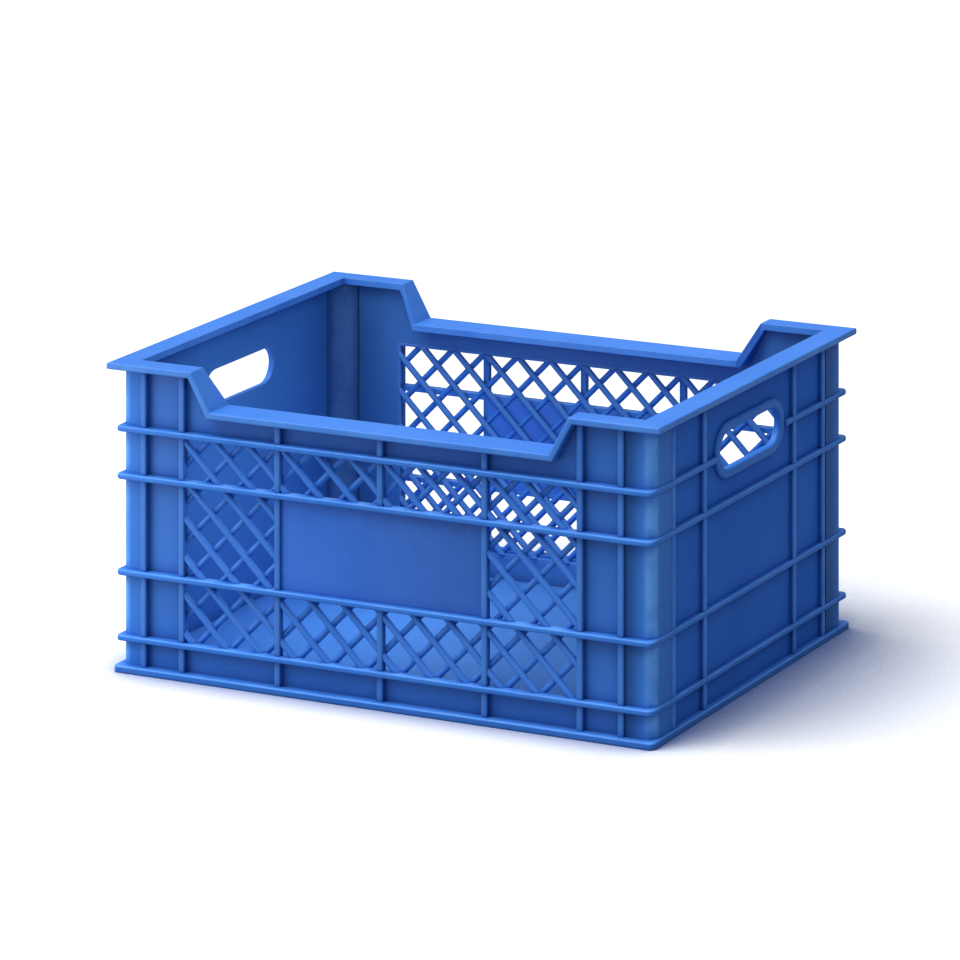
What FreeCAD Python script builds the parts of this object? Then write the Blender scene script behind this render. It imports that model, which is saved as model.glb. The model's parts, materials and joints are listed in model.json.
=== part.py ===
import FreeCAD, Part
import Sketcher
import os

# Stacking transport crate, 600 x 400 x 295 mm.  Frame: origin at the middle of
# the footprint on the ground, +X along the long side, +Y across, +Z up.
# Front is -Y, rear +Y, right +X, left -X.  All sizes in millimetres.
# The rear half is built from the front half by mirroring in X and in Y.

V = FreeCAD.Vector
doc = FreeCAD.newDocument("crate")

# alias, value or formula, note
SIZES = [
    # overall
    ("ground", 0, "ground level"),
    ("half_x", 300, "half length of the rim"),
    ("half_y", 200, "half width of the rim"),
    ("rim_z", 295, "top of the raised rim"),
    ("dip_z", 258.6, "top of the rim in the lowered grip zones"),
    ("rim_thk", 6.4, "rim thickness"),
    ("rim_in_x", 274.5, "rim inner edge on the short sides"),
    ("rim_in_y", 179, "rim inner edge on the long sides, raised part"),
    ("rim_low_y", 167, "rim inner edge on the long sides, lowered part"),
    ("dip_top_x", 205, "where the rim starts to drop"),
    ("dip_low_x", 184, "where the lowered rim starts"),
    ("seat", 3, "depth of the tongues in rim and base band"),
    ("rim_edge", 1.5, "edge radius of the rim on its outer side"),
    # base
    ("base_x", 293.5, "base band half length"),
    ("base_y", 199.8, "base band half width"),
    ("base_hi", 6.6, "base band height"),
    ("base_open_x", 276, "base band opening half length"),
    ("base_open_y", 178, "base band opening half width"),
    ("hoop_corner", 5.5, "plan corner radius of base band and hoops"),
    ("base_edge", 1.6, "edge radius of the base band"),
    # floor
    ("floor_lo", 3.4, "underside of the floor plate"),
    ("floor_rib_lo", 1, "underside of the floor stiffeners"),
    ("floor_rib_w", 3, "floor stiffener thickness"),
    ("floor_rib_x", 274.5, "reach of the floor stiffeners in X"),
    ("floor_rib_y", 176.5, "reach of the floor stiffeners in Y"),
    ("floor_pitch_x", 61, "floor stiffener pitch in X"),
    ("floor_pitch_y", 58.8, "floor stiffener pitch in Y"),
    # walls
    ("wall_out_x", 286, "outer face of the end walls"),
    ("wall_out_y", 188.5, "outer face of the long walls"),
    ("wall_thk", 3.5, "wall thickness"),
    ("tongue", 4, "reach of the wall tongues in the posts"),
    # corner posts
    ("post_y0", 154.5, "inner end of a post along the end wall"),
    ("post_out_x", 289.5, "outer face of a post, end side"),
    ("post_out_y", 191.5, "outer face of a post, long side"),
    ("post_round", 12, "outer radius of a post"),
    ("post_inner", 22.5, "inner corner radius"),
    # hoops
    ("hoop_x", 291.5, "hoop nose half length"),
    ("hoop_y", 198, "hoop nose half width"),
    ("hoop_hi", 5.4, "hoop height"),
    ("hoop_edge", 1.7, "hoop nose edge radius"),
    ("hoop_top_z", 232.5, "middle height of the top hoop"),
    ("hoop_upper_z", 186.9, "middle height of the upper hoop"),
    ("hoop_lower_z", 95.2, "middle height of the lower hoop"),
    ("hoop_bottom_z", 32.7, "middle height of the bottom hoop"),
    ("lap", 3, "depth of the cross-lap behind a hoop"),
    # upright ribs
    ("rib_w", 6.6, "upright rib width, long walls"),
    ("rib_end_w", 7.2, "upright rib width, end walls"),
    ("rib_nose_y", 194.5, "nose of the upright ribs, long walls"),
    ("rib_nose_x", 290.2, "nose of the upright ribs, end walls"),
    ("rib_a", 112.5, "upright rib beside the label plate"),
    ("rib_b_left", 219.5, "upright rib at the left window end"),
    ("rib_b_right", 213.5, "upright rib at the right window end"),
    ("rib_c_left", 262.5, "upright rib at the left post"),
    ("rib_c_right", 256.5, "upright rib at the right post"),
    ("rib_d_front", 93, "inner upright rib, end wall, front"),
    ("rib_d_rear", 88, "inner upright rib, end wall, rear"),
    ("rib_e_front", 153.5, "outer upright rib, end wall, front"),
    ("rib_e_rear", 148.5, "outer upright rib, end wall, rear"),
    ("rib_edge", 1.6, "edge radius of the upright ribs, long walls"),
    ("rib_end_edge", 1.2, "edge radius of the upright ribs, end walls"),
    # lattice window
    ("win_left", 220.5, "left end of the wall opening"),
    ("win_right", 214, "right end of the wall opening"),
    ("win_lo", 29.2, "lower edge of the wall opening"),
    ("win_hi", 233.6, "upper edge of the wall opening"),
    ("frame_w", 3, "width of the lattice frame"),
    ("rod_dia", 6.2, "lattice rod diameter"),
    ("rod_bite", 0.6, "reach of the rods into the lattice frame"),
    ("rod_out_y", 190.4, "axis plane of the outer rods"),
    ("rod_in_y", 186.2, "axis plane of the inner rods"),
    ("node_dx", 37.5, "lattice pitch along X"),
    ("node_dz", 36.5, "lattice pitch along Z"),
    ("node_z", 233.5, "height of the top row of crossings"),
    # label plate
    ("plate_x", 111.5, "half length of the label plate"),
    ("plate_lo", 96.9, "lower edge of the label plate"),
    ("plate_hi", 185.1, "upper edge of the label plate"),
    ("plate_thk", 3, "label plate thickness"),
    # hand hold
    ("grip_z", 235.5, "middle height of the hand hold"),
    ("grip_shift", 1.5, "hand hold offset from the middle of the end wall"),
    ("grip_hole_y", 120, "length of the hand hold"),
    ("grip_hole_z", 35, "height of the hand hold"),
    ("grip_sleeve", 4, "sleeve wall of the collar"),
    ("grip_lip", 9.5, "lip width of the collar"),
    ("grip_nose_x", 289.8, "nose of the collar"),
    ("grip_edge", 2.8, "edge radius of the collar"),
    # worked out from the above
    ("over", 10, "reach of a cutter beyond what it cuts"),
    ("cutter_lo", "=-over", "underside of cutters that pass the ground"),
    ("wall_in_x", "=wall_out_x - wall_thk", "inner face of the end walls"),
    ("wall_in_y", "=wall_out_y - wall_thk", "inner face of the long walls"),
    ("rim_under_z", "=rim_z - rim_thk", "underside of the raised rim"),
    ("dip_under_z", "=dip_z - rim_thk", "underside of the lowered rim"),
    ("seat_lo", "=base_hi - seat", "foot of walls and posts in the base band"),
    ("seat_hi", "=rim_under_z + seat", "top of end walls and posts in the rim"),
    ("top_drop", 0, "drop of the upper rim face below itself"),
    ("wall_drop", "=rim_thk - seat", "drop of the long wall top below the rim face"),
    ("ramp_turn", "=tan(atan((rim_z - dip_z) / (dip_top_x - dip_low_x)) / 2)",
     "shift of a rim bend along X per millimetre of drop"),
]

sheet = doc.addObject("Spreadsheet::Sheet", "Sheet")
for row, (alias, value, note) in enumerate(SIZES, start=1):
    sheet.set(f"A{row}", note)
    sheet.set(f"B{row}", str(value))
    sheet.setAlias(f"B{row}", alias)
doc.recompute()


# ---------------------------------------------------------------- helpers
def val(alias):
    return float(getattr(sheet, alias))


def bind(obj, prop, text):
    """Drive a property by an expression; "@name" is the value called name in the sheet."""
    obj.setExpression(prop, text.replace("@", "Sheet."))


def place(obj, **at):
    for axis, text in at.items():
        bind(obj, "Placement.Base." + axis, text)


def box(name, x0, x1, y0, y1, z0, z1):
    obj = doc.addObject("Part::Box", name)
    for prop, lo, hi in (("Length", x0, x1), ("Width", y0, y1), ("Height", z0, z1)):
        bind(obj, prop, f"({hi})-({lo})")
    place(obj, x=x0, y=y0, z=z0)
    return obj


def disc_x(name, radius, x0, x1, y, z):
    """Cylinder lying along X."""
    obj = doc.addObject("Part::Cylinder", name)
    bind(obj, "Radius", radius)
    bind(obj, "Height", f"({x1})-({x0})")
    obj.Placement = FreeCAD.Placement(V(0, 0, 0), FreeCAD.Rotation(V(0, 1, 0), 90))
    place(obj, x=x0, y=y, z=z)
    return obj


def compound(name, links):
    obj = doc.addObject("Part::Compound", name)
    obj.Links = links
    doc.recompute()
    return obj


def fuse(name, parts):
    obj = doc.addObject("Part::MultiFuse", name)
    obj.Shapes = parts
    obj.Refine = True
    doc.recompute()
    return obj


def combine(kind, name, base, tool):
    obj = doc.addObject(kind, name)
    obj.Base = base
    obj.Tool = tool
    obj.Refine = True
    doc.recompute()
    return obj


def cut(name, base, tool):
    return combine("Part::Cut", name, base, tool)


def common(name, base, tool):
    return combine("Part::Common", name, base, tool)


def mirror(name, source, normal):
    obj = doc.addObject("Part::Mirroring", name)
    obj.Source = source
    obj.Normal = V(*normal)
    doc.recompute()
    return obj


def turned(name, source):
    """Mirror image in X and Y, which is half a turn about the upright axis."""
    return mirror(name, mirror(name + "_half", source, (1, 0, 0)), (0, 1, 0))


def rounded(name, base, radius, wanted):
    """Fillet the edges the test picks out."""
    doc.recompute()
    size = val(radius)
    picks = [i for i, edge in enumerate(base.Shape.Edges, start=1) if wanted(edge)]
    if not picks:
        raise RuntimeError("no edges for " + name)
    obj = doc.addObject("Part::Fillet", name)
    obj.Base = base
    obj.Edges = [(i, size, size) for i in picks]
    doc.recompute()
    if obj.Shape.isNull() or not obj.Shape.isValid():
        raise RuntimeError("fillet failed: " + name)
    return obj


def upright(edge, x=None, y=None):
    """True for an edge along Z, at the given x and y where they are given."""
    start, end = edge.Vertexes[0].Point, edge.Vertexes[-1].Point
    return (abs(start.x - end.x) < 1e-6 and abs(start.y - end.y) < 1e-6
            and (x is None or abs(start.x - x) < 1e-6)
            and (y is None or abs(start.y - y) < 1e-6))


def level(edge):
    return edge.BoundBox.ZLength < 1e-6


# ---------------------------------------------------------------- sketched prisms
# A sketch coordinate is a pair (expression, number).  Sketches start from the
# corner (-half_x, -half_y), so that their coordinates across the crate are positive.
def around(middle, sign, reach, drop="top_drop"):
    """Coordinate at middle plus or minus reach, which grows with the drop."""
    number = val(middle) + float(sign + "1") * (val(reach) + val(drop) * val("ramp_turn"))
    return f"@{middle} {sign} (@{reach} + @{drop} * @ramp_turn)", number


def polygon(name, points, rotation):
    """Closed sketch through points, each a pair of coordinates."""
    sketch = doc.addObject("Sketcher::SketchObject", name)
    sketch.Placement = FreeCAD.Placement(V(0, 0, 0), rotation)
    place(sketch, x="-@half_x", y="-@half_y")
    count = len(points)
    for i, ((_, u0), (_, v0)) in enumerate(points):
        (_, u1), (_, v1) = points[(i + 1) % count]
        sketch.addGeometry(Part.LineSegment(V(u0, v0, 0), V(u1, v1, 0)), False)
    for i in range(count):
        sketch.addConstraint(Sketcher.Constraint("Coincident", i, 2, (i + 1) % count, 1))
    for i, point in enumerate(points):
        # a zero distance becomes a point on the other axis: -2 is upright, -1 level
        for kind, axis, (text, number) in zip(("DistanceX", "DistanceY"), (-2, -1), point):
            if abs(number) < 1e-9:
                sketch.addConstraint(Sketcher.Constraint("PointOnObject", i, 1, axis))
                continue
            index = sketch.addConstraint(Sketcher.Constraint(kind, -1, 1, i, 1, number))
            bind(sketch, f"Constraints[{index}]", text)
    return sketch


def extruded(name, sketch, direction, length):
    obj = doc.addObject("Part::Extrusion", name)
    obj.Base = sketch
    obj.DirMode = "Custom"
    obj.Dir = direction
    bind(obj, "LengthFwd", length)
    obj.Solid = True
    doc.recompute()
    return obj


def profile(name, drop, foot):
    """Everything under the rim line lowered by drop, down to foot, over the full width."""
    start = ("0", 0.0)
    end = ("2*@half_x", 2 * val("half_x"))
    bottom = (f"@{foot}", val(foot))
    raised = (f"@rim_z - @{drop}", val("rim_z") - val(drop))
    lowered = (f"@dip_z - @{drop}", val("dip_z") - val(drop))
    points = [
        (start, bottom),
        (end, bottom),
        (end, raised),
        (around("half_x", "+", "dip_top_x", drop), raised),
        (around("half_x", "+", "dip_low_x", drop), lowered),
        (around("half_x", "-", "dip_low_x", drop), lowered),
        (around("half_x", "-", "dip_top_x", drop), raised),
        (start, raised),
    ]
    sketch = polygon(name + "_sketch", points, FreeCAD.Rotation(V(1, 0, 0), 90))
    return extruded(name, sketch, V(0, 1, 0), "2*@half_y")


def opening(name):
    """The crate opening seen from above: wider between the raised ends of the rim."""
    # side in X, reach in X, reach in Y, along one long side from left to right
    edge = [
        ("-", "rim_in_x", "rim_in_y"), ("-", "dip_top_x", "rim_in_y"),
        ("-", "dip_low_x", "rim_low_y"), ("+", "dip_low_x", "rim_low_y"),
        ("+", "dip_top_x", "rim_in_y"), ("+", "rim_in_x", "rim_in_y"),
    ]
    points = [(around("half_x", side, reach_x), around("half_y", row, reach_y))
              for row, stations in (("-", edge), ("+", edge[::-1]))
              for side, reach_x, reach_y in stations]
    sketch = polygon(name + "_sketch", points, FreeCAD.Rotation())
    return extruded(name, sketch, V(0, 0, 1), "@rim_z+@over")


# ---------------------------------------------------------------- hoop blanks
HOOPS = ("top", "upper", "lower", "bottom")


def hoop_blank(which):
    middle = f"@hoop_{which}_z"
    block = box(f"hoop_{which}_box", "-@hoop_x", "@hoop_x", "-@hoop_y", "@hoop_y",
                middle + "-@hoop_hi/2", middle + "+@hoop_hi/2")
    plan = rounded(f"hoop_{which}_plan", block, "hoop_corner", upright)
    return rounded(f"hoop_{which}_blank", plan, "hoop_edge", level)


blanks = {which: hoop_blank(which) for which in HOOPS}

# the outer part of the hoops, which cuts its cross-laps into the long wall ribs
lap_core = box("lap_core", "-(@wall_out_x+@lap)", "@wall_out_x+@lap",
               "-(@wall_out_y+@lap)", "@wall_out_y+@lap", "@ground", "@rim_z")
laps = compound("laps", [cut("lap_ring_" + which, blanks[which], lap_core) for which in HOOPS])

# ---------------------------------------------------------------- label plates
front_plate = box("front_label_plate", "-@plate_x", "@plate_x",
                  "-(@wall_out_y+@plate_thk)", "-@wall_out_y", "@plate_lo", "@plate_hi")
rear_plate = turned("rear_label_plate", front_plate)


# ---------------------------------------------------------------- long walls
def long_sheet_open():
    """Wall sheet under the rim line, with the window cut out."""
    line = profile("long_line", "wall_drop", "ground")
    sheet_box = box("long_sheet", "-(@rib_c_left+@rib_w/2+@tongue)",
                    "@rib_c_right+@rib_w/2+@tongue",
                    "-@wall_out_y", "-@wall_in_y", "@seat_lo", "@rim_z")
    panel = common("long_panel", sheet_box, line)
    window = box("window", "-@win_left", "@win_right", "-@wall_out_y-@over",
                 "-@wall_in_y+@over", "@win_lo", "@win_hi")
    return cut("long_open", panel, window)


def long_rib(name, at, z0, z1):
    bar = box(name + "_bar", f"{at}-@rib_w/2", f"{at}+@rib_w/2",
              "-@rib_nose_y", "-@wall_out_y", z0, z1)
    return rounded(name, bar, "rib_edge", lambda edge: upright(edge, y=-val("rib_nose_y")))


def long_ribs():
    bars = [
        long_rib("rib_mid_low", "0", "@base_hi", "@hoop_lower_z"),
        long_rib("rib_mid_high", "0", "@hoop_upper_z", "@dip_under_z"),
    ]
    for side, sign in (("left", "-"), ("right", "")):
        for name, alias, top in (("rib_a_", "rib_a", "@dip_under_z"),
                                 ("rib_b_", "rib_b_" + side, "@rim_under_z"),
                                 ("rib_c_", "rib_c_" + side, "@rim_under_z")):
            bars.append(long_rib(name + side, f"{sign}@{alias}", "@base_hi", top))
    return compound("long_bars", bars)


long_open = long_sheet_open()
front_ribs = cut("front_ribs", long_ribs(), laps)
front_whole = fuse("front_whole", [long_open, front_ribs])
front_wall = cut("front_wall", front_whole, front_plate)
rear_wall = turned("rear_wall", front_wall)
rear_ribs = turned("rear_ribs", front_ribs)


# ---------------------------------------------------------------- end walls
def stadium(name, x0, x1, margin):
    """Slot-shaped prism along X: the hand hold, widened all round by margin."""
    radius = f"(@grip_hole_z/2+{margin})"
    y0 = "-@grip_shift-(@grip_hole_y-@grip_hole_z)/2"
    y1 = "-@grip_shift+(@grip_hole_y-@grip_hole_z)/2"
    return fuse(name, [
        box(name + "_mid", x0, x1, y0, y1, "@grip_z-" + radius, "@grip_z+" + radius),
        disc_x(name + "_end_a", radius, x0, x1, y0, "@grip_z"),
        disc_x(name + "_end_b", radius, x0, x1, y1, "@grip_z"),
    ])


def end_rib(name, at):
    bar = box(name + "_bar", "@wall_out_x", "@rib_nose_x",
              f"{at}-@rib_end_w/2", f"{at}+@rib_end_w/2", "@base_hi", "@rim_under_z")
    return rounded(name, bar, "rib_end_edge", lambda edge: upright(edge, x=val("rib_nose_x")))


end_sheet = box("end_sheet", "@wall_in_x", "@wall_out_x",
                "-(@post_y0+@tongue)", "@post_y0+@tongue", "@seat_lo", "@seat_hi")
# the sleeve fills its own slot in the end wall
sleeve = stadium("sleeve", "@wall_in_x", "@wall_out_x", "@grip_sleeve")
end_open = cut("end_open", end_sheet, sleeve)
end_rib_list = [end_rib("rib_d_f", "-@rib_d_front"), end_rib("rib_d_r", "@rib_d_rear"),
                end_rib("rib_e_f", "-@rib_e_front"), end_rib("rib_e_r", "@rib_e_rear")]
end_bars = compound("end_bars", end_rib_list)
right_wall = fuse("right_end_wall", [end_open] + end_rib_list)
left_wall = turned("left_end_wall", right_wall)
left_bars = turned("left_bars", end_bars)


# ---------------------------------------------------------------- hand hold collars
def on_nose(edge):
    bounds = edge.BoundBox
    return abs(bounds.Center.x - val("grip_nose_x")) < 1e-6 and bounds.XLength < 1e-6


lip = stadium("lip", "@wall_out_x", "@grip_nose_x", "@grip_lip")
collar_solid = fuse("collar_solid", [lip, sleeve])
grip_hole = stadium("grip_hole", "@wall_in_x-@over", "@grip_nose_x+@over", "0")
collar_raw = cut("collar_raw", collar_solid, grip_hole)
right_collar = rounded("right_handle_collar", collar_raw, "grip_edge", on_nose)
left_collar = turned("left_handle_collar", right_collar)

# ---------------------------------------------------------------- corner posts
nook_box = box("nook_box", "@rib_c_right-@over", "@wall_in_x",
               "-@wall_in_y", "-@post_y0+@over", "@ground", "@rim_z+@over")
nook = rounded("nook", nook_box, "post_inner",
               lambda edge: upright(edge, x=val("wall_in_x"), y=-val("wall_in_y")))


def corner(side):
    """Outer block and post at +X -Y, for the end of the long wall called side."""
    start = f"@rib_c_{side}+@rib_w/2"
    block = box("post_box_" + side, start, "@post_out_x", "-@post_out_y", "-@post_y0",
                "@seat_lo", "@seat_hi")
    outer = rounded("post_outer_" + side, block, "post_round",
                    lambda edge: upright(edge, x=val("post_out_x"), y=-val("post_out_y")))
    shell = cut("post_shell_" + side, outer, nook)
    # room for the tongues of the long wall and of the end wall
    slot = box("post_slot_" + side, "0", start + "+@tongue", "-@wall_out_y", "-@wall_in_y",
               "@ground", "@rim_z+@over")
    tools = compound("post_tools_" + side, [slot, end_sheet])
    return outer, cut("post_" + side, shell, tools)


outer_right, post_fr = corner("right")
post_fr.Label = "corner_post_front_right"
outer_left, post_left = corner("left")
post_fl = mirror("corner_post_front_left", post_left, (1, 0, 0))
post_rl = turned("corner_post_rear_left", post_fr)
post_rr = turned("corner_post_rear_right", post_fl)

# ---------------------------------------------------------------- hoops
core_box = box("core_box", "-@wall_out_x", "@wall_out_x", "-@wall_out_y", "@wall_out_y",
               "@ground", "@rim_z")
outer_fl = mirror("outer_front_left", outer_left, (1, 0, 0))
outer_rl = turned("outer_rear_left", outer_right)
outer_rr = turned("outer_rear_right", outer_fl)
core = fuse("core", [core_box, outer_right, outer_fl, outer_rl, outer_rr])
rib_set = compound("rib_set", [front_ribs, rear_ribs, end_bars, left_bars])
plates = compound("plates", [front_plate, rear_plate])
lip_block = stadium("lip_block", "@wall_out_x", "@half_x", "@grip_lip")
lips = compound("lips", [lip_block, turned("lip_block_left", lip_block)])


def hoop_ring(which, name, tool=None):
    """Hoop outside walls and posts, lapped over the ribs and cut by the tool."""
    open_ring = cut("open_ring_" + which, blanks[which], core)
    if tool is None:
        return cut(name, open_ring, rib_set)
    return cut(name, cut("lapped_ring_" + which, open_ring, rib_set), tool)


# the collar lips break the top hoop into a front and a rear half
ring_top = hoop_ring("top", "broken_ring_top", lips)
hoop_upper = hoop_ring("upper", "rib_hoop_upper", plates)
hoop_lower = hoop_ring("lower", "rib_hoop_lower", plates)
hoop_bottom = hoop_ring("bottom", "rib_hoop_bottom")
front_half = box("front_half", "-@half_x", "@half_x", "-@half_y", "0", "@ground", "@rim_z")
rear_half = box("rear_half", "-@half_x", "@half_x", "0", "@half_y", "@ground", "@rim_z")
hoop_front = common("rib_hoop_top_front", ring_top, front_half)
hoop_rear = common("rib_hoop_top_rear", ring_top, rear_half)

# ---------------------------------------------------------------- floor
STIFF_X = 4  # stiffeners on either side of the middle one, spaced along X
STIFF_Y = 2  # the same, spaced along Y

floor_box = box("floor_box", "-@wall_in_x", "@wall_in_x", "-@wall_in_y", "@wall_in_y",
                "@floor_lo", "@base_hi")
floor_sheet = rounded("floor_sheet", floor_box, "post_inner", upright)
stiffeners = []
for i in range(-STIFF_X, STIFF_X + 1):
    at = f"{i}*@floor_pitch_x"
    stiffeners.append(box(f"stiff_x_{i + STIFF_X}", at + "-@floor_rib_w/2",
                          at + "+@floor_rib_w/2", "-@floor_rib_y", "@floor_rib_y",
                          "@floor_rib_lo", "@floor_lo"))
for i in range(-STIFF_Y, STIFF_Y + 1):
    at = f"{i}*@floor_pitch_y"
    stiffeners.append(box(f"stiff_y_{i + STIFF_Y}", "-@floor_rib_x", "@floor_rib_x",
                          at + "-@floor_rib_w/2", at + "+@floor_rib_w/2",
                          "@floor_rib_lo", "@floor_lo"))
floor_panel = fuse("floor_panel", [floor_sheet] + stiffeners)

# ---------------------------------------------------------------- base band
band_box = box("band_box", "-@base_x", "@base_x", "-@base_y", "@base_y", "@ground", "@base_hi")
band_plan = rounded("band_plan", band_box, "hoop_corner", upright)
band_round = rounded("band_round", band_plan, "base_edge", level)
band_hole_box = box("band_hole_box", "-@base_open_x", "@base_open_x",
                    "-@base_open_y", "@base_open_y", "@cutter_lo", "@base_hi+@over")
band_hole = rounded("band_hole", band_hole_box, "hoop_corner", upright)
band_ring = cut("band_ring", band_round, band_hole)
wall_set = compound("band_tools", [front_wall, rear_wall, right_wall, left_wall])
post_set = compound("post_set", [post_fr, post_fl, post_rr, post_rl])
# seats for the floor, the walls and the posts
band_a = cut("band_a", band_ring, floor_sheet)
band_b = cut("band_b", band_a, wall_set)
base_band = cut("base_band", band_b, post_set)


# ---------------------------------------------------------------- rim
def rim_side(edge):
    """True for every outer edge of the rim except the upright ones."""
    outside = all(abs(abs(vertex.X) - val("half_x")) < 1e-3
                  or abs(abs(vertex.Y) - val("half_y")) < 1e-3 for vertex in edge.Vertexes)
    return outside and not upright(edge)


rim_top = profile("rim_top", "top_drop", "ground")
rim_under = profile("rim_under", "rim_thk", "cutter_lo")
rim_strip = cut("rim_strip", rim_top, rim_under)
rim_ring = cut("rim_ring", rim_strip, opening("rim_hole"))
rim_round = rounded("rim_round", rim_ring, "rim_edge", rim_side)
# seats for the walls and the posts
rim_a = cut("rim_a", rim_round, wall_set)
rim_frame = cut("rim_frame", rim_a, post_set)


# ---------------------------------------------------------------- lattices
ROD_RUN = 12.0       # length the rods run past the window before clipping
ROD_STEPS = 14       # crossings on either side of the middle, enough to fill the window
MIN_ROD_RUN = 2      # shorter rods, measured along X, are left out
MIN_ROD_VOLUME = 1.0


def block(x0, x1, y0, y1, z0, z1):
    return Part.makeBox(x1 - x0, y1 - y0, z1 - z0, V(x0, y0, z0))


def lattice_rods():
    """Two layers of crossing rods, clipped to the window."""
    inset = val("frame_w") - val("rod_bite")
    x0, x1 = -(val("win_left") - inset), val("win_right") - inset
    z0, z1 = val("win_lo") + inset, val("win_hi") - inset
    dx, node_z = val("node_dx"), val("node_z")
    slope = val("node_dz") / dx
    clip = block(x0, x1, -val("rod_out_y") - val("over"), -val("rod_in_y") + val("over"), z0, z1)
    rods = []
    # outer rods fall towards +X, inner rods rise
    for y, rise in ((-val("rod_out_y"), -slope), (-val("rod_in_y"), slope)):
        for k in range(-ROD_STEPS, ROD_STEPS + 1):
            node_x = k * dx
            ends = sorted(node_x + (z - node_z) / rise for z in (z0 - ROD_RUN, z1 + ROD_RUN))
            start_x, end_x = max(ends[0], x0 - ROD_RUN), min(ends[1], x1 + ROD_RUN)
            if end_x - start_x < MIN_ROD_RUN:
                continue
            start = V(start_x, y, node_z + rise * (start_x - node_x))
            axis = V(end_x, y, node_z + rise * (end_x - node_x)) - start
            rod = Part.makeCylinder(val("rod_dia") / 2, axis.Length, start, axis).common(clip)
            if rod.Volume > MIN_ROD_VOLUME:
                rods.extend(rod.Solids)
    return rods


def lattice_frame():
    x0, x1 = -val("win_left"), val("win_right")
    y0, y1 = -val("wall_out_y"), -val("wall_in_y")
    z0, z1 = val("win_lo"), val("win_hi")
    width, over = val("frame_w"), val("over")
    inner = block(x0 + width, x1 - width, y0 - over, y1 + over, z0 + width, z1 - width)
    return block(x0, x1, y0, y1, z0, z1).cut(inner)


def lattice_shape():
    """Frame and rods, cleared of hoops, ribs and label plate; the largest solid is kept."""
    whole = lattice_frame().multiFuse(lattice_rods())
    for which in HOOPS:
        whole = whole.cut(blanks[which].Shape.cut(core_box.Shape))
    whole = whole.cut(front_ribs.Shape)
    whole = whole.cut(front_plate.Shape)
    return max(whole.Solids, key=lambda solid: solid.Volume)


lattice = lattice_shape()
front_lattice = doc.addObject("Part::Feature", "front_lattice")
front_lattice.Shape = lattice
rear_lattice = doc.addObject("Part::Feature", "rear_lattice")
rear_lattice.Shape = lattice
rear_lattice.Placement = FreeCAD.Placement(V(0, 0, 0), FreeCAD.Rotation(V(0, 0, 1), 180))
doc.recompute()

# ---------------------------------------------------------------- export
PIECES = [
    floor_panel, base_band, post_fl, post_fr, post_rl, post_rr,
    front_wall, rear_wall, left_wall, right_wall,
    front_lattice, rear_lattice, front_plate, rear_plate,
    left_collar, right_collar,
    hoop_bottom, hoop_lower, hoop_upper, hoop_front, hoop_rear,
    rim_frame,
]

for obj in doc.Objects:
    if "Invalid" in obj.State or "Error" in obj.State:
        raise RuntimeError(f"{obj.Name} is in state {obj.State}")
for piece in PIECES:
    if piece.Shape.isNull() or not piece.Shape.isValid():
        raise RuntimeError("bad shape: " + piece.Label)
    if len(piece.Shape.Solids) != 1:
        raise RuntimeError(f"{piece.Label} has {len(piece.Shape.Solids)} solids")

os.makedirs("parts", exist_ok=True)
for piece in PIECES:
    piece.Shape.exportStep(f"parts/{piece.Label}.step")
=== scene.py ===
import bpy, math, json
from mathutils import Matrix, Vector

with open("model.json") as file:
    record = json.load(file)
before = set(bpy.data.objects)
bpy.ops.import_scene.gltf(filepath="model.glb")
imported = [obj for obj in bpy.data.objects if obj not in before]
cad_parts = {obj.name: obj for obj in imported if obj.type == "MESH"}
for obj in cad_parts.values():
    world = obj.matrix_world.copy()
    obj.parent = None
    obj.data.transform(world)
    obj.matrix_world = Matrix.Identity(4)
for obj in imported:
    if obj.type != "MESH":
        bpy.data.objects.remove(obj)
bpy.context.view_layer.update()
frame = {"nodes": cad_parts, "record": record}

scene = bpy.context.scene
nodes = frame["nodes"]

# ---------------------------------------------------------------- node helpers


class Tree:
    """Small wrapper: every call adds one shader node and returns its first output."""

    def __init__(self, tree):
        self.tree = tree
        self.tree.nodes.clear()

    def add(self, kind, out=0, props=None, **inputs):
        n = self.tree.nodes.new(kind)
        for k, v in (props or {}).items():
            setattr(n, k, v)
        for k, v in inputs.items():
            key = int(k[1:]) if k[0] == "i" and k[1:].isdigit() else k.replace("_", " ")
            s = n.inputs[key]
            if isinstance(v, bpy.types.NodeSocket):
                self.tree.links.new(v, s)
            else:
                s.default_value = v
        return n.outputs[out] if len(n.outputs) > out else None

    def math(self, op, a, b=0.0, clamp=False):
        return self.add("ShaderNodeMath", props={"operation": op, "use_clamp": clamp}, i0=a, i1=b)

    def ramp(self, v, a, b, lo, hi, smooth=True):
        return self.add("ShaderNodeMapRange", props={"interpolation_type": "SMOOTHSTEP" if smooth else "LINEAR"},
                        Value=v, From_Min=a, From_Max=b, To_Min=lo, To_Max=hi)

    def noise(self, vec, scale, detail=3.0, rough=0.5, distortion=0.0):
        return self.add("ShaderNodeTexNoise", Vector=vec, Scale=scale, Detail=detail, Roughness=rough, Distortion=distortion)

    def stretched(self, vec, x, y, z):
        return self.add("ShaderNodeMapping", Vector=vec, Scale=(x, y, z))

    def mix(self, f, a, b, kind="MIX"):
        n = self.tree.nodes.new("ShaderNodeMix")
        n.data_type, n.blend_type, n.clamp_factor = "RGBA", kind, True
        for s, v in ((n.inputs[0], f), (n.inputs[6], a), (n.inputs[7], b)):
            if isinstance(v, bpy.types.NodeSocket):
                self.tree.links.new(v, s)
            else:
                s.default_value = v if not isinstance(v, tuple) or len(v) == 4 else (*v, 1.0)
        return n.outputs[2]


# ---------------------------------------------------------------- moulded plastic

BLUE = (0.033, 0.186, 0.690)
# paler blue for scuffs, edge wear and the painted highlights
PALE = (0.140, 0.400, 0.960)


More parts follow.
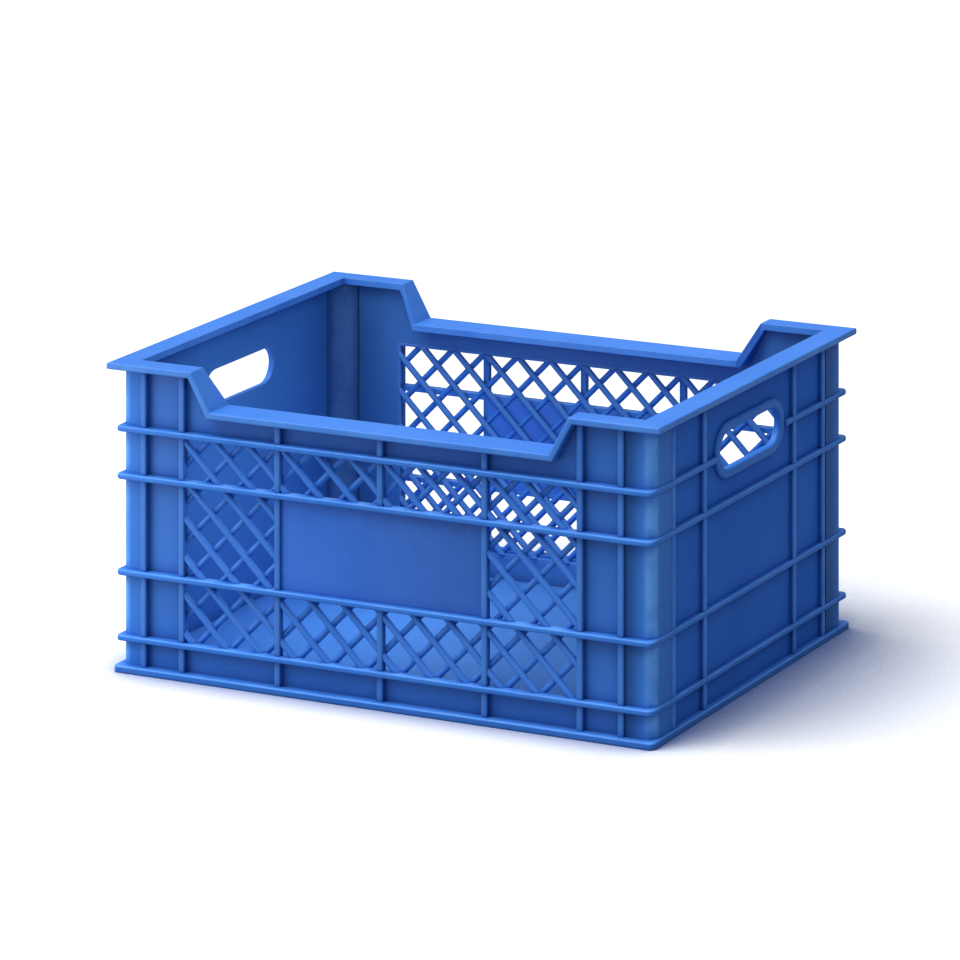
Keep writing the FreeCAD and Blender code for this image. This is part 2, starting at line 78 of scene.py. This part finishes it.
def plastic(name, tone=1.0, rough=0.42, grain=0.25, edge_wear_and_highlight=0.35, scuff=0.0, crevice=0.55, reach=0.014,
            mottle=0.05, shade=None, highlight_mask=None, gloss=0.32, edge=0.0013, tint=(1.0, 1.0, 1.0), inner=True):
    """Moulded polyethylene: mottled pigment, fine mould grain, polished edges paled by wear and a painted highlight,
    painted shade in crevices, fine scuffs, optional masks of painted light and shade.
    """
    m = bpy.data.materials.new(name)
    m.use_nodes = True
    t = Tree(m.node_tree)
    pos = t.add("ShaderNodeTexCoord", out=3)
    geo_n = t.add("ShaderNodeNewGeometry", out=1)
    # pigment: broad flow clouds and finer mottling
    clouds = t.noise(pos, 6.5, 2.0, 0.5, 0.6)
    flecks = t.noise(pos, 70.0, 4.0, 0.6)
    value = t.math("ADD", t.ramp(clouds, 0.3, 0.7, 1 - mottle, 1 + mottle, False), t.ramp(flecks, 0.3, 0.7, -0.5 * mottle, 0.5 * mottle, False))
    value = t.math("MULTIPLY", value, tone)
    if shade:
        value = t.math("MULTIPLY", value, shade(t, pos, geo_n))
    blue = tuple(c * k for c, k in zip(BLUE, tint))
    hue = t.mix(t.ramp(clouds, 0.35, 0.65, 0.0, 1.0), blue, (blue[0] * 1.25, blue[1] * 1.05, blue[2] * 0.99))
    if inner:
        # the inside faces are a little greyer and less blue
        px = t.math("ABSOLUTE", t.add("ShaderNodeSeparateXYZ", out=0, Vector=pos))
        py = t.math("ABSOLUTE", t.add("ShaderNodeSeparateXYZ", out=1, Vector=pos))
        within = t.math("MULTIPLY", t.ramp(px, 0.2828, 0.2834, 1.0, 0.0), t.ramp(py, 0.1853, 0.1859, 1.0, 0.0))
        hue = t.mix(within, hue, (0.050, 0.195, 0.58))
    # crevices: painted shade from ambient occlusion darkens beside ribs and under hoops
    ao = t.add("ShaderNodeAmbientOcclusion", out=1, props={"samples": 3, "only_local": False}, Distance=reach)
    hollow = t.ramp(ao, 0.25, 0.95, 1 - crevice, 1.0, False)
    # edges: the bevelled normal leaves the true one only near an edge
    soft = t.add("ShaderNodeBevel", props={"samples": 4}, Radius=edge)
    dot = t.add("ShaderNodeVectorMath", out=1, props={"operation": "DOT_PRODUCT"}, i0=soft, i1=geo_n)
    near_edge = t.ramp(dot, 0.995, 0.86, 0.0, 1.0, False)
    open_air = t.ramp(ao, 0.6, 0.9, 0.0, 1.0)
    # noise that breaks up the pale edges and the painted highlights
    breakup_noise = t.ramp(t.noise(pos, 28.0, 5.0, 0.65), 0.35, 0.6, 0.55, 1.0)
    # pale edges: wear and a painted highlight, strongest where open to the sky
    edge_wear_and_highlight_mask = t.math("MULTIPLY", t.math("MULTIPLY", near_edge, open_air), t.math("MULTIPLY", breakup_noise, edge_wear_and_highlight))
    # scuffs: long thin hairline marks, mostly along the crate, plus short cross ones
    lines_a = t.ramp(t.noise(t.stretched(pos, 9.0, 260.0, 260.0), 1.0, 3.0, 0.55), 0.60, 0.72, 0.0, 1.0)
    lines_b = t.ramp(t.noise(t.stretched(pos, 240.0, 12.0, 60.0), 1.0, 3.0, 0.55), 0.63, 0.74, 0.0, 1.0)
    patch = t.ramp(t.noise(pos, 11.0, 2.0, 0.5), 0.45, 0.65, 0.15, 1.0)
    marks = t.math("MULTIPLY", t.math("MAXIMUM", lines_a, lines_b), t.math("MULTIPLY", patch, scuff))
    pale = t.math("MAXIMUM", edge_wear_and_highlight_mask, marks, True)
    # painted highlights from the part's own mask, broken up by noise, only where open to the sky
    if highlight_mask:
        pale = t.math("MAXIMUM", pale, t.math("MULTIPLY", highlight_mask(t, pos, geo_n), t.math("MULTIPLY", breakup_noise, open_air)), True)
    colour = t.mix(pale, hue, PALE)
    # the painted crevice shade darkens blue least, so it reads bluer
    shadow = t.add("ShaderNodeCombineColor", i0=t.math("MULTIPLY", value, hollow), i1=t.math("MULTIPLY", value, hollow), i2=t.math("MULTIPLY", value, t.ramp(hollow, 0.0, 1.0, 0.12, 1.0, False)))
    colour = t.mix(1.0, colour, shadow, "MULTIPLY")
    # surface: orange peel from the mould, fine grain, very shallow marks
    grain_a = t.noise(pos, 420.0, 3.0, 0.6)
    grain_b = t.noise(pos, 1500.0, 2.0, 0.5)
    wave = t.noise(pos, 16.0, 1.0, 0.4)
    height = t.math("ADD", t.math("MULTIPLY", grain_a, 0.6), t.math("MULTIPLY", grain_b, 0.4))
    height = t.math("SUBTRACT", height, t.math("MULTIPLY", marks, 0.8))
    bump = t.add("ShaderNodeBump", Strength=grain, Distance=0.00022, Height=height, Normal=soft)
    bump = t.add("ShaderNodeBump", Strength=0.35, Distance=0.0009, Height=wave, Normal=bump)
    r = t.math("ADD", t.ramp(flecks, 0.3, 0.7, rough - 0.05, rough + 0.06, False), t.math("MULTIPLY", pale, 0.12))
    r = t.math("SUBTRACT", r, t.math("MULTIPLY", near_edge, 0.08), True)
    bsdf = t.add("ShaderNodeBsdfPrincipled", Base_Color=colour, Roughness=r, Normal=bump, IOR=1.5)
    b = m.node_tree.nodes[-1]
    b.inputs["Specular IOR Level"].default_value = gloss
    b.inputs["Subsurface Weight"].default_value = 0.0
    b.inputs["Sheen Weight"].default_value = 0.0
    t.add("ShaderNodeOutputMaterial", Surface=bsdf)
    return m


def axis(t, vec, i):
    return t.add("ShaderNodeSeparateXYZ", out=i, Vector=vec)


def post_shade(t, pos, normal):
    # painted shade: darker on the post flats next to the outer ribs
    ax, ay = t.math("ABSOLUTE", axis(t, pos, 0)), t.math("ABSOLUTE", axis(t, pos, 1))
    inside = t.math("MULTIPLY", t.ramp(ax, 0.2832, 0.2838, 1.0, 0.0), t.ramp(ay, 0.1852, 0.1858, 1.0, 0.0))
    # the crate is alike after half a turn, so opposite corners share their look
    hand = t.math("MULTIPLY", axis(t, pos, 0), axis(t, pos, 1))
    low_x = t.ramp(hand, -0.001, 0.001, 0.46, 0.95)
    low_y = t.ramp(hand, -0.001, 0.001, 0.92, 0.55)
    ribs = t.math("MULTIPLY", t.ramp(ax, 0.262, 0.284, low_x, 1.0), t.ramp(ay, 0.160, 0.184, low_y, 1.0))
    # painted shade on the inside faces of the posts
    return t.math("MINIMUM", ribs, t.ramp(inside, 0.0, 1.0, 1.0, 0.46, False))


def post_corner_highlight(t, pos, normal):
    # painted highlight: palest on the round corner, where the normal points between the two faces
    nx, ny = t.math("ABSOLUTE", axis(t, normal, 0)), t.math("ABSOLUTE", axis(t, normal, 1))
    return t.ramp(t.math("MULTIPLY", nx, ny), 0.02, 0.44, 0.08, 1.0)


def long_rib_highlight(t, pos, normal):
    # painted highlight: the proud ribs of the long walls are paler
    return t.ramp(t.math("ABSOLUTE", axis(t, pos, 1)), 0.1900, 0.1940, 0.0, 0.26)


def end_rib_highlight(t, pos, normal):
    # painted highlight: the proud ribs of the end walls are paler
    return t.ramp(t.math("ABSOLUTE", axis(t, pos, 0)), 0.2866, 0.2896, 0.0, 0.55)


def floor_shade(t, pos, normal):
    # painted light and shade: the crate floor is lighter towards -x and darker towards +x
    return t.ramp(axis(t, pos, 0), -0.27, 0.14, 1.32, 0.56)


def hoop_top_highlight(t, pos, normal):
    # painted highlight: faces that look up are paler
    up = t.ramp(axis(t, normal, 2), 0.15, 0.75, 0.06, 0.62)
    return up


def plate_shade(t, pos, normal):
    # painted light and shade: the plate is lighter towards -x and the top, darker towards +x and the bottom
    x = t.add("ShaderNodeSeparateXYZ", out=0, Vector=pos)
    z = t.add("ShaderNodeSeparateXYZ", out=2, Vector=pos)
    v = t.math("ADD", x, t.math("MULTIPLY", z, -0.35))
    return t.ramp(v, -0.16, 0.07, 1.18, 0.86)


def low_pale(t, pos):
    # the walls are a little lighter low down and darker towards the top
    return t.ramp(axis(t, pos, 2), 0.0, 0.3, 1.04, 0.98, False)


def long_wall_shade(t, pos, normal):
    # painted shade: the inside darkens towards the corner posts
    ax, ay = t.math("ABSOLUTE", axis(t, pos, 0)), t.math("ABSOLUTE", axis(t, pos, 1))
    dark = t.ramp(ay, 0.1852, 0.1858, t.ramp(ax, 0.205, 0.262, 1.0, 0.74), 1.0)
    return t.math("MULTIPLY", low_pale(t, pos), dark)


def end_wall_shade(t, pos, normal):
    ax, ay = t.math("ABSOLUTE", axis(t, pos, 0)), t.math("ABSOLUTE", axis(t, pos, 1))
    # painted shade: the inside darkens towards the corner posts and is a little lighter mid-wall
    dark = t.ramp(ax, 0.2827, 0.2834, t.ramp(ay, 0.085, 0.158, 1.06, 0.84), 1.0)
    return t.math("MULTIPLY", low_pale(t, pos), dark)


def rim_side_highlight(t, pos, normal):
    # painted light: the upright faces of the rim are paler
    return t.ramp(t.math("ABSOLUTE", axis(t, normal, 2)), 0.25, 0.80, 0.34, 0.0)


looks = {
    "rim_blue": plastic("rim_plastic", rough=0.36, edge_wear_and_highlight=0.90, scuff=0.26, crevice=0.18, grain=0.18, gloss=0.26, inner=False,
                        highlight_mask=rim_side_highlight),
    "frame_blue": plastic("hoop_plastic", rough=0.38, edge_wear_and_highlight=0.80, scuff=0.12, crevice=0.40, highlight_mask=hoop_top_highlight, gloss=0.14),
    "wall_blue": plastic("end_wall_plastic", tone=0.93, rough=0.50, edge_wear_and_highlight=0.65, scuff=0.09, crevice=0.60, grain=0.40,
                         shade=end_wall_shade, highlight_mask=end_rib_highlight, gloss=0.04, tint=(0.88, 0.88, 1.02)),
    "floor_blue": plastic("floor_plastic", tone=1.05, rough=0.46, edge_wear_and_highlight=0.25, scuff=0.24, crevice=0.35, grain=0.35, shade=floor_shade),
    "lattice_blue": plastic("lattice_plastic", rough=0.38, edge_wear_and_highlight=0.35, scuff=0.06, crevice=0.35, reach=0.008),
    "label_blue": plastic("label_plastic", tone=0.85, tint=(1.10, 0.94, 1.04), rough=0.34, edge_wear_and_highlight=0.30, scuff=0.20, crevice=0.45, grain=0.12,
                          shade=plate_shade),
}
special = {
    "corner_post": plastic("post_plastic", rough=0.40, gloss=0.12, edge_wear_and_highlight=0.35, scuff=0.12, crevice=0.40, shade=post_shade, highlight_mask=post_corner_highlight, reach=0.012),
    "base_band": plastic("base_plastic", rough=0.40, edge_wear_and_highlight=0.75, scuff=0.22, crevice=0.35, highlight_mask=hoop_top_highlight, gloss=0.2),
    "left_handle_collar": plastic("collar_plastic", rough=0.36, edge_wear_and_highlight=0.50, scuff=0.12, crevice=0.45, edge=0.0016, gloss=0.14),
    "front_wall": plastic("long_wall_plastic", tone=0.86, rough=0.46, edge_wear_and_highlight=0.65, scuff=0.09, crevice=0.68, grain=0.40,
                          shade=long_wall_shade, highlight_mask=long_rib_highlight, gloss=0.25),
}
special["right_handle_collar"] = special["left_handle_collar"]
special["rear_wall"] = special["front_wall"]

slots = {s["node"]: s["material_slot"] for s in frame["record"]["subparts"]}
for name, o in nodes.items():
    look = looks[slots[name]]
    for start, other in special.items():
        if name.startswith(start):
            look = other
    o.data.materials.clear()
    o.data.materials.append(look)

# ---------------------------------------------------------------- camera

MAIN = (2.548269, -4.284809, 1.540463)
cam_data = bpy.data.cameras.new("camera")
cam = bpy.data.objects.new("camera", cam_data)
scene.collection.objects.link(cam)
scene.camera = cam
cam.location = MAIN
cam.rotation_euler = (math.pi / 2, 0, 0.402)
cam_data.sensor_width = 36
cam_data.lens = 191.168
cam_data.clip_start, cam_data.clip_end = 0.1, 100


def shift_driver(prop, value):
    # the lens shift belongs to the main view only
    drv = cam_data.driver_add(prop).driver
    drv.type = "SCRIPTED"
    for name, path in (("px", "location[0]"), ("py", "location[1]"), ("pz", "location[2]")):
        v = drv.variables.new()
        v.name = name
        v.type = "SINGLE_PROP"
        v.targets[0].id_type = "OBJECT"
        v.targets[0].id = cam
        v.targets[0].data_path = path
    drv.expression = "%r if abs(px - %r) + abs(py + %r) + abs(pz - %r) < 0.001 else 0.0" % (value, MAIN[0], -MAIN[1], MAIN[2])


shift_driver("shift_x", -0.7256)
shift_driver("shift_y", -1.4794)

# ---------------------------------------------------------------- studio light

world = bpy.data.worlds.new("world")
scene.world = world
world.use_nodes = True
w = Tree(world.node_tree)
z = w.add("ShaderNodeSeparateXYZ", out=2, Vector=w.add("ShaderNodeTexCoord", out=0))
up = w.math("MAXIMUM", z, 0.0)
level = w.math("ADD", w.math("MULTIPLY", w.math("MULTIPLY", up, up), 0.85), 0.24)
dome = w.add("ShaderNodeBackground", Color=(0.93, 0.96, 1.0, 1.0), Strength=level)
white = w.add("ShaderNodeBackground", Color=(1.0, 1.0, 1.0, 1.0), Strength=1.0)
eye = w.add("ShaderNodeLightPath", out=0)
w.add("ShaderNodeOutputWorld", Surface=w.add("ShaderNodeMixShader", i0=eye, i1=dome, i2=white))


def sun(name, azimuth, elevation, strength, spread, colour=(1.0, 1.0, 1.0)):
    d = bpy.data.lights.new(name, "SUN")
    d.energy, d.angle, d.color = strength, math.radians(spread), colour
    o = bpy.data.objects.new(name, d)
    scene.collection.objects.link(o)
    a, e = math.radians(azimuth), math.radians(elevation)
    toward = Vector((math.sin(a) * math.cos(e), -math.cos(a) * math.cos(e), math.sin(e)))
    o.location = toward * 3
    o.rotation_euler = toward.to_track_quat("Z", "Y").to_euler()
    return o


def panel(name, azimuth, elevation, reach, wide, tall, energy, glossy_only=False, aim=(0, 0, 0.15)):
    d = bpy.data.lights.new(name, "AREA")
    d.shape, d.size, d.size_y, d.energy = "RECTANGLE", wide, tall, energy
    o = bpy.data.objects.new(name, d)
    scene.collection.objects.link(o)
    a, e = math.radians(azimuth), math.radians(elevation)
    toward = Vector((math.sin(a) * math.cos(e), -math.cos(a) * math.cos(e), math.sin(e)))
    o.location = Vector(aim) + toward * reach
    o.rotation_euler = toward.to_track_quat("Z", "Y").to_euler()
    o.visible_camera = False
    if glossy_only:
        o.visible_diffuse = False
    return o


# azimuth 0 is straight in front of the long side, positive to the right
sun("key", -58, 62, 2.30, 44, (1.0, 0.99, 0.97))
panel("front_fill", -6, 10, 2.8, 2.2, 0.9, 7)
panel("top_box", -20, 78, 2.2, 1.4, 1.0, 9)
panel("left_near", -52, 6, 0.66, 0.22, 0.40, 0.62, aim=(0, 0, 0.12))


def bulb(name, place, energy, size, colour=(1.0, 1.0, 1.0)):
    d = bpy.data.lights.new(name, "POINT")
    d.energy, d.shadow_soft_size, d.color = energy, size, colour
    o = bpy.data.objects.new(name, d)
    scene.collection.objects.link(o)
    o.location = place
    o.visible_camera = False
    o.visible_glossy = False
    return o


# lifts the shade inside the crate
bulb("inner_fill_left", (-0.13, -0.05, 0.17), 0.36, 0.06, (1.0, 0.95, 0.86))
bulb("inner_fill_right", (0.13, -0.02, 0.20), 0.05, 0.06, (1.0, 0.95, 0.86))

# ---------------------------------------------------------------- floor

bpy.ops.mesh.primitive_plane_add(size=60)
floor = bpy.context.object
floor.name = "studio_floor"
fm = bpy.data.materials.new("studio_floor")
fm.use_nodes = True
f = Tree(fm.node_tree)
# soft cool shadow that leans away from the key light, and a thin contact shadow all round
lean = f.add("ShaderNodeCombineXYZ", X=-0.60, Y=-0.50, Z=0.60)
near = f.add("ShaderNodeAmbientOcclusion", out=1, props={"samples": 4}, Distance=0.34, Normal=lean)
touch = f.add("ShaderNodeAmbientOcclusion", out=1, props={"samples": 4}, Distance=0.06)
open_sky = f.math("MULTIPLY", f.ramp(near, 0.10, 0.84, 0.0, 1.0), f.ramp(touch, 0.40, 0.99, 0.05, 1.0))
tint = f.mix(open_sky, (0.06, 0.13, 0.38), (0.84, 0.85, 0.86))
seen = f.add("ShaderNodeBsdfDiffuse", Color=tint)
lift = f.add("ShaderNodeEmission", Color=tint, Strength=0.10)
seen = f.add("ShaderNodeAddShader", i0=seen, i1=lift)
bounce = f.add("ShaderNodeBsdfDiffuse", Color=(0.26, 0.27, 0.29, 1.0))
f.add("ShaderNodeOutputMaterial", Surface=f.add("ShaderNodeMixShader", i0=f.add("ShaderNodeLightPath", out=0), i1=bounce, i2=seen))
floor.data.materials.append(fm)

scene.view_settings.view_transform = "Standard"
scene.view_settings.look = "None"
